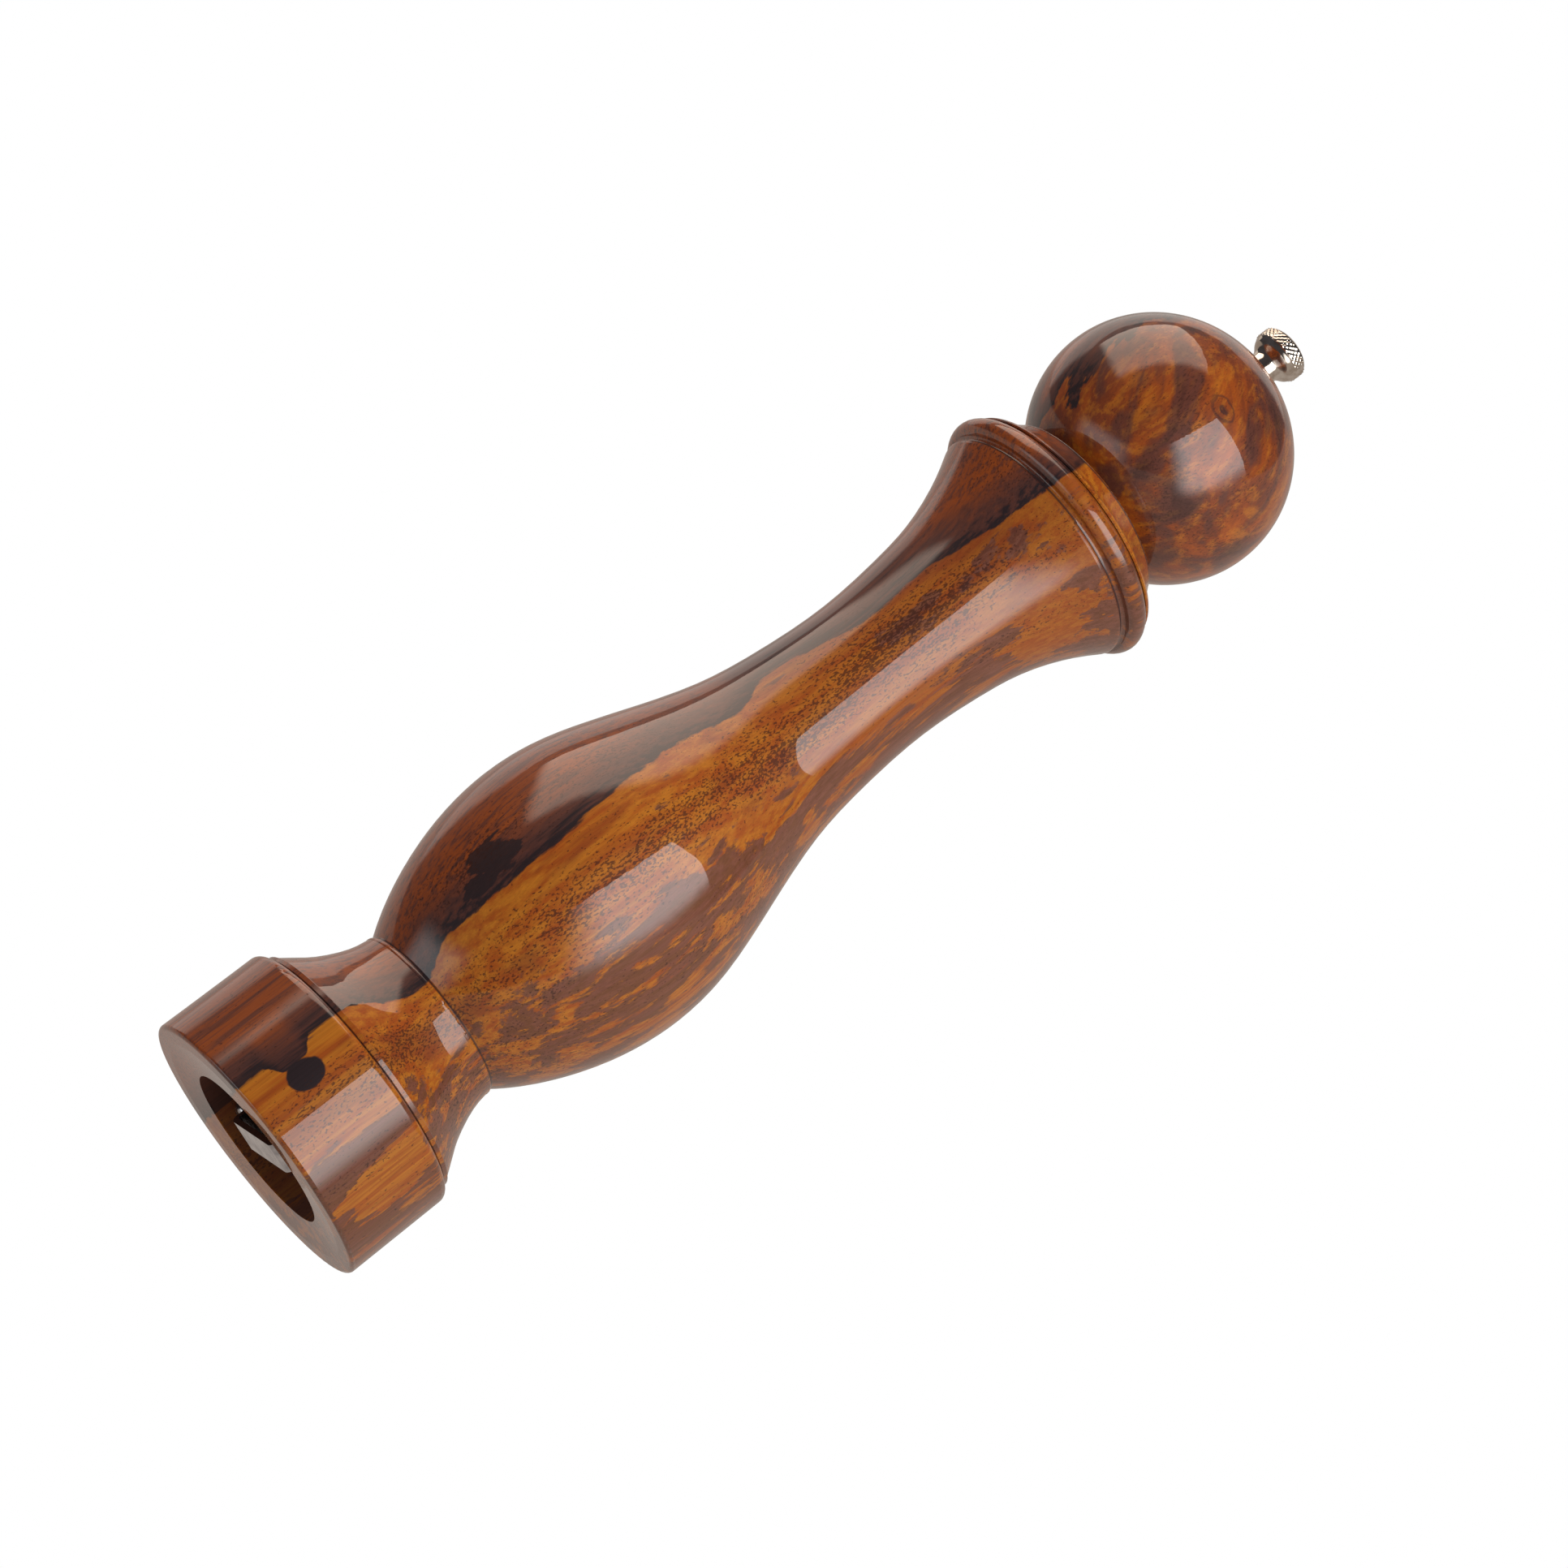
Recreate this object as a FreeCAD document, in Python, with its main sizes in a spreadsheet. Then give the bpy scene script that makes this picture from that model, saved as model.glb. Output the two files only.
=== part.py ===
import FreeCAD, Part
import math
import os

import Sketcher

# A turned wooden pepper mill: a hollow body with a bulb and a slender waist, a
# ball-shaped head that turns on it, and a grinder in the foot that the head works
# through a square shaft. The mill stands upright, +Z up, with its origin at the centre of
# the circle that it stands on. All sizes are in millimetres.

SIZES = [
    # foot and plinth
    ("plinth_radius", 34.3, "radius just above the eased foot"),
    ("plinth_taper", 0.2, "radius lost up to the top arris"),
    ("plinth_top", 25.4, "where the top arris begins"),
    ("foot_ease", 1.0, "radius of the eased bottom edge"),
    ("land_radius", 29.5, "inner edge of the flat ring that the mill rests on"),
    ("dish_depth", 0.85, "how far the bottom rises from there to the recess"),
    ("shoulder_in", 0.45, "how far the rounded shoulder draws in halfway"),
    ("shoulder_up", 1.35, "how far it has risen there"),
    ("band_radius", 31.85, "small band above the plinth"),
    ("band_low", 27.7, "bottom of the band"),
    ("band_high", 29.1, "top of the band"),
    ("groove", 0.25, "fine groove below the band"),
    # neck between plinth and bulb
    ("neck_bead_radius", 21.75, "small bead that ends the cove"),
    ("neck_bead_height", 49.5, "height of its widest ring"),
    ("quirk_radius", 21.2, "fine groove between that bead and the bulb"),
    ("quirk_height", 50.1, "height of the groove"),
    # bores of the body
    ("recess_radius", 20.2, "recess in the bottom for the grinder"),
    ("shoulder", 10.0, "height of the recess's shoulder"),
    ("bore_radius", 13.5, "pepper chamber"),
    # joint between body and head
    ("seam", 239.8, "top face of the body"),
    ("seam_gap", 0.2, "fine gap between body and head"),
    ("seam_radius", 31.5, "radius at the seam"),
    ("bead_radius", 33.2, "large bead of the collar"),
    ("bead_height", 236.7, "height of its widest ring"),
    ("flare_radius", 30.6, "upper end of the flare"),
    ("flare_top", 232.3, "height of that end"),
    ("hollow_radius", 29.75, "small hollow between the flare and the bead"),
    ("hollow_height", 233.3, "height of the hollow"),
    ("ledge_radius", 31.0, "inner edge of the ledge under the bead"),
    ("ledge_height", 234.3, "height of that ledge"),
    ("ledge_width", 0.4, "width of the ledge"),
    ("ledge_slope", 0.05, "how far the ledge rises outwards"),
    # head
    ("ball_radius", 33.0, "radius of the ball at its widest"),
    ("ball_rise", 31.2, "half height of the ball, which is slightly flattened"),
    ("ball_centre", 273.6, "height of the ball's centre"),
    ("rim_radius", 25.2, "upper rim of the collar"),
    ("rim_height", 246.8, "height of that rim"),
    ("ring_radius", 29.9, "upper end of the small ring above the seam"),
    ("ring_height", 241.45, "height of that end"),
    ("ring_swell", 0.55, "how far the ring has drawn in halfway"),
    ("ring_rise", 1.05, "how far it has risen there"),
    ("trough_radius", 21.0, "outer edge of the trough round the ball"),
    ("trough_height", 246.3, "height of the trough"),
    ("trough_fillet_radius", 19.35, "middle of the fillet between trough and ball"),
    ("trough_fillet_height", 247.0, "height of that middle"),
    ("seat_radius", 5.8, "flat on top of the ball under the knob's washer"),
    ("shaft_hole", 3.7, "radius of the hole through the head"),
    ("tenon_bottom", 224.0, "lower end of the head's tenon"),
    ("tenon_play", 0.08, "radial clearance of the tenon in the body"),
    ("tenon_chamfer", 0.6, "chamfer at the tenon's end"),
    ("mouth_chamfer", 0.4, "chamfers of the body's upper face"),
    # drive
    ("shaft_side", 5.0, "side of the square shaft"),
    ("square_play", 0.05, "clearance of the square holes on each side"),
    ("shaft_foot", 5.0, "top of the peened end under the rotor"),
    ("square_top", 298.0, "where the square ends and the round thread begins"),
    ("shaft_top", 312.9, "upper end of the shaft"),
    ("thread_radius", 2.5, "radius of the M5 thread"),
    ("thread_pitch", 0.8, "pitch of the M5 thread"),
    ("thread_depth", 0.4, "depth of the thread"),
    ("peen_radius", 3.4, "peened end of the shaft"),
    ("peen_thickness", 0.8, "thickness of the peened end"),
    ("peen_round", 0.5, "rounded edge of the peened end"),
    ("thread_runout", 2.0, "plain round length below the thread"),
    ("thread_overrun", 1.5, "how far the cutting helix runs past the shaft's end"),
    ("shaft_chamfer", 0.5, "chamfer at the shaft's upper end"),
    # knob
    ("knob_foot", 305.15, "underside of the knob"),
    ("knob_top", 317.2, "crown of the knob"),
    ("stem_radius", 4.1, "foot of the knob"),
    ("stem_length", 3.2, "straight part of the knob's stem"),
    ("knob_bore_depth", 8.4, "depth of the knob's thread"),
    ("knob_bore_tip", 9.1, "depth of the cone that ends it"),
    ("knob_radius", 6.95, "knurled rim of the knob"),
    ("knurl_low", 312.7, "lower edge of the knurling"),
    ("knurl_high", 315.3, "upper edge of the knurling"),
    ("knurl_depth", 0.25, "depth of the knurling"),
    ("knurl_width", 0.45, "width of one cut of the knurling"),
    ("dome_inset", 0.4, "how far the dome's edge lies inside the rim"),
    ("dome_step", 0.6, "how far it lies above the knurling"),
    ("washer_radius", 5.5, "washer under the knob"),
    ("thread_play", 0.06, "radial clearance of the thread in the knob"),
    # retaining bar
    ("bar_angle", -63.1, "direction of the bar about the axis, in degrees"),
    ("bar_underside", 1.6, "underside of the bar's bridge"),
    ("bar_thickness", 1.4, "thickness of the strip"),
    ("bar_width", 7.9, "width of the strip"),
    ("bridge_half", 9.5, "half length of the flat bridge"),
    ("foot_reach", 19.2, "outer end of each foot"),
    ("foot_underside", 6.6, "underside of the feet"),
    ("bend_inner", 0.6, "inner radius of the bends"),
    ("screw_reach", 16.4, "distance of the bar's screws from the axis"),
    ("foot_corner", 1.8, "rounded corners of the feet"),
    # wood screws: the bar's, then the drive plate's
    ("bar_screw_head", 3.5, "radius of the head"),
    ("bar_screw_height", 2.0, "height of the head"),
    ("bar_screw_shank", 1.75, "radius of the shank"),
    ("bar_screw_length", 12.6, "length below the head"),
    ("bar_screw_depth", 20.0, "upper end of its hole in the body"),
    ("plate_screw_head", 2.7, "radius of the head"),
    ("plate_screw_height", 1.5, "height of the head"),
    ("plate_screw_shank", 1.45, "radius of the shank"),
    ("plate_screw_length", 8.6, "length below the head"),
    ("plate_screw_depth", 9.0, "depth of its hole in the head"),
    ("screw_fit", 0.05, "clearance of a shank in the wood"),
    ("screw_clearance", 0.2, "clearance of a shank in a metal plate"),
    # grinder
    ("flange_radius", 19.6, "flange of the stator"),
    ("flange_thickness", 2.0, "thickness of the flange"),
    ("notch_radius", 2.1, "holes in the flange for the bar's screws"),
    ("stator_radius", 13.3, "barrel of the stator"),
    ("stator_top", 25.0, "upper end of the stator"),
    ("spider_low", 22.5, "underside of the stator's three arms"),
    ("throat_height", 12.4, "height of the stator's narrowest ring"),
    ("throat_radius", 10.15, "radius of that ring"),
    ("mouth_radius", 12.0, "stator's lower opening"),
    ("crusher_radius", 12.1, "stator's upper opening"),
    ("crusher_rise", 7.0, "height of the funnel above the throat"),
    ("hub_radius", 6.0, "bearing in the middle of the arms"),
    ("arm_half", 1.3, "half width of an arm"),
    ("hub_play", 0.06, "clearance of the turning shaft's corners in the hub"),
    ("stator_flute_low", 12.65, "bottom of a stator flute at its mouth"),
    ("stator_flute_throat", 10.75, "bottom of a stator flute at its throat"),
    ("stator_flute_top", 12.55, "bottom of a stator flute at its upper end"),
    ("stator_flute_rise", 6.0, "height of a stator flute above the throat"),
    ("stator_flute_width", 1.1, "width of a stator flute"),
    ("burr_gap", 0.55, "radial gap between the burrs at a medium grind"),
    ("rotor_low", 9.2, "lower edge of the rotor's teeth"),
    ("rotor_top", 17.5, "upper end of the rotor"),
    ("rotor_top_radius", 6.9, "radius at that end"),
    ("rotor_hub", 5.5, "rotor's hub below its teeth"),
    ("fine_above", 0.3, "how far the fine teeth pass the throat"),
    ("fine_depth", 0.6, "depth of the rotor's fine teeth"),
    ("fine_width", 0.9, "width of a fine flute"),
    ("coarse_low", 8.1, "bottom of a coarse flute at its lower end"),
    ("coarse_high", 6.1, "bottom of a coarse flute at its upper end"),
    ("coarse_width", 2.2, "width of a coarse flute"),
    ("spring_floor", 12.5, "floor of the rotor's spring pocket"),
    ("pocket_radius", 5.4, "radius of the spring pocket"),
    ("spring_radius", 4.6, "mean radius of the spring"),
    ("wire_radius", 0.45, "radius of the spring's wire"),
    ("washer_low", 21.65, "underside of the spring's thrust washer"),
    ("washer_thickness", 0.8, "thickness of the washers"),
    ("washer_play", 0.12, "clearance of the shaft's corners in the washers"),
    ("thrust_radius", 5.8, "radius of the thrust washer"),
    ("rotor_washer_radius", 4.8, "radius of the washer under the rotor"),
    ("coil_gap", 0.03, "gap at each end of the spring"),
    # drive plate
    ("plate_radius", 12.6, "plate under the head's tenon"),
    ("plate_thickness", 1.5, "thickness of the plate"),
    ("plate_screw_reach", 9.0, "distance of its screws from the axis"),
]

# Radius and height of the stations that the free curves pass through.
COVE = [(31.35, 29.2), (29.35, 32.0), (26.5, 36.0), (24.35, 40.0), (22.75, 44.0), (21.75, 48.8)]
BULB = [
    (21.3, 50.5),
    (25.0, 56.2),
    (29.0, 64.2),
    (33.1, 76.0),
    (35.55, 92.5),
    (34.5, 106.2),
    (30.8, 120.0),
    (26.1, 134.0),
    (22.15, 148.0),
    (19.85, 164.0),
    (18.85, 182.5),
    (20.0, 199.0),
    (21.9, 211.0),
    (25.5, 222.0),
    (30.4, 231.8),
]
COLLAR = [(28.0, 243.2), (26.3, 245.2)]
KNOB_FLARE = [(4.9, 309.75), (5.95, 310.9), (6.55, 312.05)]

STATOR_FLUTES = 24
ROTOR_FLUTES = 20
CRUSHER_FLUTES = 6
ARMS = 3
KNURLS = 36
SPRING_TURNS = 5.5
BALL_STEPS = 11
NECK_ANGLE = math.radians(-53)
BROKEN_EDGE = 0.15
OVERCUT = 0.5
THREAD_FORM = 0.42

doc = FreeCAD.newDocument("pepper_mill")
sheet = doc.addObject("Spreadsheet::Sheet", "Sizes")
VALUES = {}
for row, (alias, value, note) in enumerate(SIZES, start=1):
    sheet.set(f"A{row}", note)
    sheet.set(f"B{row}", str(value))
    sheet.setAlias(f"B{row}", alias)
    VALUES[alias] = value
doc.recompute()
SEAT_ANGLE = math.acos(VALUES["seat_radius"] / VALUES["ball_radius"])


class Length:
    """A number together with the sheet expression that it comes from."""

    def __init__(self, value, text):
        self.value = value
        self.text = text

    def __add__(self, other):
        other = as_length(other)
        return Length(self.value + other.value, f"({self.text} + {other.text})")

    def __sub__(self, other):
        other = as_length(other)
        return Length(self.value - other.value, f"({self.text} - {other.text})")

    def __mul__(self, factor):
        return Length(self.value * factor, f"({self.text} * {factor:.9f})")

    def __neg__(self):
        return self * -1.0


def as_length(thing):
    return thing if isinstance(thing, Length) else Length(float(thing), f"{float(thing):.6f}")


def size(alias):
    return Length(VALUES[alias], f"Sizes.{alias}")


def bind(feature, name, length):
    """Give a feature's property its size from the sheet."""
    feature.setExpression(name, as_length(length).text)


# ---------------------------------------------------------------- sketches


def origin_plane(body, role):
    return next(f for f in body.Origin.OriginFeatures if f.Role == role)


def new_body(label):
    body = doc.addObject("PartDesign::Body", label)
    body.Label = label
    return body


def new_sketch(body, name, role="XZ_Plane", offset=None):
    sketch = body.newObject("Sketcher::SketchObject", name)
    sketch.AttachmentSupport = [(origin_plane(body, role), "")]
    sketch.MapMode = "FlatFace"
    if offset is not None:
        bind(sketch, "AttachmentOffset.Base.z", offset)
    return sketch


def vector(point):
    return FreeCAD.Vector(as_length(point[0]).value, as_length(point[1]).value, 0)


def place_point(sketch, piece, end, point):
    """Tie one end of a sketch curve to its two sizes."""
    for kind, coordinate in (("DistanceX", point[0]), ("DistanceY", point[1])):
        length = as_length(coordinate)
        index = sketch.addConstraint(Sketcher.Constraint(kind, -1, 1, piece, end, length.value))
        sketch.setExpression(f"Constraints[{index}]", length.text)


def draw_outline(sketch, start, steps):
    """Draw a closed outline. A step is ("line", end), ("arc", via, end) or ("curve", points)."""
    here = start
    corners = []
    for kind, *points in steps:
        if kind == "line":
            curve = Part.LineSegment(vector(here), vector(points[0]))
        elif kind == "arc":
            curve = Part.Arc(vector(here), vector(points[0]), vector(points[1]))
        else:
            curve = Part.BSplineCurve()
            curve.interpolate([vector(here)] + [vector(p) for p in points[0]])
        corners.append((sketch.addGeometry(curve, False), kind, here))
        here = points[0][-1] if kind == "curve" else points[-1]
    for number, (piece, kind, begin) in enumerate(corners):
        following = corners[(number + 1) % len(corners)]
        first, last = ends_of(sketch, piece, kind, begin)
        next_first = ends_of(sketch, *following)[0]
        place_point(sketch, piece, first, begin)
        sketch.addConstraint(Sketcher.Constraint("Coincident", piece, last, following[0], next_first))


def ends_of(sketch, piece, kind, begin):
    """The first and last vertex of a curve as drawn: a clockwise arc is stored reversed."""
    if kind == "arc" and sketch.getPoint(piece, 1).distanceToPoint(vector(begin)) > 1e-6:
        return 2, 1
    return 1, 2


def draw_circle(sketch, centre, radius):
    piece = sketch.addGeometry(Part.Circle(vector(centre), FreeCAD.Vector(0, 0, 1), as_length(radius).value))
    place_point(sketch, piece, 3, centre)
    index = sketch.addConstraint(Sketcher.Constraint("Radius", piece, as_length(radius).value))
    sketch.setExpression(f"Constraints[{index}]", as_length(radius).text)


def draw_rectangle(sketch, low, high):
    corners = [(high[0], low[1]), high, (low[0], high[1]), low]
    draw_outline(sketch, low, [("line", corner) for corner in corners])


# ---------------------------------------------------------------- features


def volume_of(body):
    doc.recompute()
    return body.Shape.Volume


def turn(body, start, steps):
    """Revolve an outline of (radius, height) points about the mill's axis."""
    sketch = new_sketch(body, "Outline")
    draw_outline(sketch, start, steps)
    feature = body.newObject("PartDesign::Revolution", "Turning")
    feature.Profile = sketch
    feature.ReferenceAxis = (sketch, ["V_Axis"])
    feature.Angle = 360
    sketch.Visibility = False
    doc.recompute()


def raise_from(body, sketch, height):
    """Pad a sketch that lies across the axis upwards by a height."""
    feature = body.newObject("PartDesign::Pad", "Raised")
    feature.Profile = sketch
    bind(feature, "Length", height)
    doc.recompute()
    return feature


def sink_from(body, sketch, depth):
    """Cut a sketch that lies across the axis upwards by a depth, and check that it cut."""
    before = volume_of(body)
    feature = body.newObject("PartDesign::Pocket", "Hole")
    feature.Profile = sketch
    feature.Reversed = True
    bind(feature, "Length", depth)
    if volume_of(body) >= before - 1e-6:
        raise RuntimeError(f"{body.Label}: a hole removed nothing")


def slot_across(body, start, steps, width):
    """Cut a slot of a given width whose outline lies in the plane of the axis."""
    before = volume_of(body)
    sketch = new_sketch(body, "Slot")
    draw_outline(sketch, start, steps)
    feature = body.newObject("PartDesign::Pocket", "Flute")
    feature.Profile = sketch
    feature.Midplane = True
    bind(feature, "Length", width)
    if volume_of(body) >= before - 1e-6:
        raise RuntimeError(f"{body.Label}: a slot removed nothing")
    return feature


def around(body, feature, count):
    """Repeat a feature round the mill's axis."""
    pattern = body.newObject("PartDesign::PolarPattern", "Round")
    pattern.Originals = [feature]
    pattern.Axis = (origin_plane(body, "Z_Axis"), [""])
    pattern.Angle = 360
    pattern.Occurrences = count
    body.Tip = pattern
    doc.recompute()


def square_hole(body, low, height):
    """Cut the square hole that the shaft drives through."""
    half = size("shaft_side") * 0.5 + size("square_play")
    sketch = new_sketch(body, "Square", "XY_Plane", low)
    draw_rectangle(sketch, (-half, -half), (half, half))
    sink_from(body, sketch, height)


def along_bar(reach):
    """Centre of a hole at a distance along the retaining bar's direction."""
    angle = math.radians(VALUES["bar_angle"])
    turned = "Sizes.bar_angle * 1 deg"
    return (
        Length(reach.value * math.cos(angle), f"({reach.text} * cos({turned}))"),
        Length(reach.value * math.sin(angle), f"({reach.text} * sin({turned}))"),
    )


def turn_to_bar(body):
    body.Placement = FreeCAD.Placement(
        FreeCAD.Vector(0, 0, 0), FreeCAD.Rotation(FreeCAD.Vector(0, 0, 1), VALUES["bar_angle"])
    )


# ---------------------------------------------------------------- wooden pieces


def mill_body():
    body = new_body("mill_body")
    foot = size("plinth_radius")
    ease = size("foot_ease")
    arris = foot - size("plinth_taper")
    band = size("band_radius")
    groove = size("groove")
    ledge = size("ledge_radius")
    seam = size("seam")
    bead = size("bead_radius")
    chamfer = size("mouth_chamfer")
    root_half = ease * (1 - math.sqrt(0.5))
    shoulder = (arris - size("shoulder_in"), size("plinth_top") + size("shoulder_up"))
    turn(
        body,
        (size("recess_radius"), size("dish_depth")),
        [
            ("line", (size("land_radius"), 0)),
            ("line", (foot - ease, 0)),
            ("arc", (foot - root_half, root_half), (foot, ease)),
            ("line", (arris, size("plinth_top"))),
            ("arc", shoulder, (band + BROKEN_EDGE, size("band_low") - groove)),
            ("line", (band - groove, size("band_low"))),
            ("line", (band, size("band_low") + groove)),
            ("line", (band, size("band_high") - BROKEN_EDGE)),
            ("line", COVE[0]),
            ("curve", COVE[1:]),
            (
                "arc",
                (size("neck_bead_radius"), size("neck_bead_height")),
                (size("quirk_radius"), size("quirk_height")),
            ),
            ("line", BULB[0]),
            ("curve", BULB[1:]),
            ("line", (size("flare_radius"), size("flare_top"))),
            ("arc", (size("hollow_radius"), size("hollow_height")), (ledge, size("ledge_height"))),
            ("line", (ledge + size("ledge_width"), size("ledge_height") + size("ledge_slope"))),
            ("arc", (bead, size("bead_height")), (size("seam_radius"), seam - chamfer)),
            ("line", (size("seam_radius") - chamfer, seam)),
            ("line", (size("bore_radius") + chamfer, seam)),
            ("line", (size("bore_radius"), seam - chamfer)),
            ("line", (size("bore_radius"), size("shoulder"))),
            ("line", (size("recess_radius"), size("shoulder"))),
            ("line", (size("recess_radius"), size("dish_depth"))),
        ],
    )
    holes = new_sketch(body, "BarScrewHoles", "XY_Plane")
    for side in (1, -1):
        centre = along_bar(size("screw_reach") * side)
        draw_circle(holes, centre, size("bar_screw_shank") + size("screw_fit"))
    sink_from(body, holes, size("bar_screw_depth"))
    return body


def ball_point(angle):
    return (
        size("ball_radius") * math.cos(angle),
        size("ball_centre") + size("ball_rise") * math.sin(angle),
    )


def mill_head():
    body = new_body("mill_head")
    hole = size("shaft_hole")
    low = size("tenon_bottom")
    tenon = size("bore_radius") - size("tenon_play")
    base = size("seam") + size("seam_gap")
    rim = size("rim_radius")
    height = size("rim_height")
    sweep = SEAT_ANGLE - NECK_ANGLE
    ball = [ball_point(NECK_ANGLE + sweep * step / BALL_STEPS) for step in range(BALL_STEPS + 1)]
    chamfer = size("tenon_chamfer")
    ring = (size("seam_radius") - size("ring_swell"), base + size("ring_rise"))
    fillet = (size("trough_fillet_radius"), size("trough_fillet_height"))
    turn(
        body,
        (hole, low),
        [
            ("line", (tenon - chamfer, low)),
            ("line", (tenon, low + chamfer)),
            ("line", (tenon, base)),
            ("line", (size("seam_radius") - 2 * BROKEN_EDGE, base)),
            ("line", (size("seam_radius"), base + 2 * BROKEN_EDGE)),
            ("arc", ring, (size("ring_radius"), size("ring_height"))),
            ("curve", COLLAR + [(rim, height - BROKEN_EDGE)]),
            ("arc", (rim - BROKEN_EDGE, height + 0.1), (rim - 3 * BROKEN_EDGE, height + BROKEN_EDGE)),
            ("line", (size("trough_radius"), size("trough_height"))),
            ("arc", fillet, ball[0]),
            ("curve", ball[1:]),
            ("line", (hole, ball[-1][1])),
            ("line", (hole, low)),
        ],
    )
    holes = new_sketch(body, "PlateScrewHoles", "XY_Plane", low)
    for side in (1, -1):
        centre = (size("plate_screw_reach") * side, 0)
        draw_circle(holes, centre, size("plate_screw_shank") + size("screw_fit"))
    sink_from(body, holes, size("plate_screw_depth"))
    return body


# ---------------------------------------------------------------- knob and drive


def on_dome(radius, edge_radius, edge_height, crown):
    """The point at a radius on the sphere cap that rises from an edge to a crown."""
    rise = crown.value - edge_height.value
    sphere = (edge_radius.value**2 + rise**2) / (2 * rise)
    return radius, crown - (sphere - math.sqrt(sphere**2 - radius.value**2))


def knob_nut():
    body = new_body("knob_nut")
    stem = size("stem_radius")
    foot = size("knob_foot")
    radius = size("knob_radius")
    low = size("knurl_low")
    high = size("knurl_high")
    crown = size("knob_top")
    bore = size("thread_radius") + size("thread_play")
    root = radius - size("knurl_depth")
    edge = radius - size("dome_inset")
    edge_height = high + size("dome_step")
    turn(
        body,
        (bore, foot),
        [
            ("line", (stem, foot)),
            ("line", (stem, foot + size("stem_length"))),
            ("curve", KNOB_FLARE),
            ("line", (root, low - size("knurl_depth"))),
            ("line", (radius, low)),
            ("line", (radius, high)),
            ("line", (edge, edge_height)),
            ("arc", on_dome(radius * 0.5, edge, edge_height, crown), (0, crown)),
            ("line", (0, foot + size("knob_bore_tip"))),
            ("line", (bore, foot + size("knob_bore_depth"))),
            ("line", (bore, foot)),
        ],
    )
    slot = slot_across(
        body,
        (root, low - OVERCUT),
        [
            ("line", (radius + OVERCUT, low - OVERCUT)),
            ("line", (radius + OVERCUT, high + 2 * BROKEN_EDGE)),
            ("line", (root, high + 2 * BROKEN_EDGE)),
            ("line", (root, low - OVERCUT)),
        ],
        size("knurl_width"),
    )
    around(body, slot, KNURLS)
    return body


def washer(label, inner, outer, low, thickness):
    """A flat ring with softened outer edges."""
    body = new_body(label)
    top = low + thickness
    edge = BROKEN_EDGE
    turn(
        body,
        (inner, low),
        [
            ("line", (outer - edge, low)),
            ("line", (outer, low + edge)),
            ("line", (outer, top - edge)),
            ("line", (outer - edge, top)),
            ("line", (inner, top)),
            ("line", (inner, low)),
        ],
    )
    return body


def drive_shaft():
    body = new_body("drive_shaft")
    half = size("shaft_side") * 0.5
    foot = size("shaft_foot")
    square = new_sketch(body, "Square", "XY_Plane", foot)
    draw_rectangle(square, (-half, -half), (half, half))
    raise_from(body, square, size("square_top") - foot)
    peen = size("peen_radius")
    under = foot - size("peen_thickness")
    round_edge = size("peen_round")
    halfway = round_edge * (1 - math.sqrt(0.5))
    turn(
        body,
        (0, under),
        [
            ("line", (peen - round_edge, under)),
            ("arc", (peen - halfway, under + halfway), (peen, under + round_edge)),
            ("line", (peen, foot)),
            ("line", (0, foot)),
            ("line", (0, under)),
        ],
    )
    radius = size("thread_radius")
    top = size("shaft_top")
    low = size("square_top")
    chamfer = size("shaft_chamfer")
    turn(
        body,
        (0, low),
        [
            ("line", (radius, low)),
            ("line", (radius, top - chamfer)),
            ("line", (radius - chamfer, top)),
            ("line", (0, top)),
            ("line", (0, low)),
        ],
    )
    cut_thread(body)
    return body


def cut_thread(body):
    """Cut the helical thread on the round end of the shaft."""
    before = volume_of(body)
    radius = size("thread_radius")
    pitch = size("thread_pitch")
    low = size("square_top") + size("thread_runout")
    half = pitch * THREAD_FORM
    sketch = new_sketch(body, "ThreadForm")
    inner = radius - size("thread_depth")
    outer = radius + BROKEN_EDGE
    draw_outline(
        sketch,
        (inner, low),
        [
            ("line", (outer, low - half)),
            ("line", (outer, low + half)),
            ("line", (inner, low)),
        ],
    )
    helix = body.newObject("PartDesign::SubtractiveHelix", "Thread")
    helix.Profile = sketch
    helix.ReferenceAxis = (sketch, ["V_Axis"])
    helix.Mode = 0
    bind(helix, "Pitch", pitch)
    bind(helix, "Height", size("shaft_top") - low + size("thread_overrun"))
    if volume_of(body) >= before - 1e-6:
        raise RuntimeError("the thread removed nothing")


def drive_plate():
    body = new_body("drive_plate")
    low = size("tenon_bottom") - size("plate_thickness")
    disc = new_sketch(body, "Disc", "XY_Plane", low)
    draw_circle(disc, (0, 0), size("plate_radius"))
    raise_from(body, disc, size("plate_thickness"))
    square_hole(body, low, size("plate_thickness"))
    holes = new_sketch(body, "ScrewHoles", "XY_Plane", low)
    for side in (1, -1):
        centre = (size("plate_screw_reach") * side, 0)
        draw_circle(holes, centre, size("plate_screw_shank") + size("screw_clearance"))
    sink_from(body, holes, size("plate_thickness"))
    return body


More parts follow.
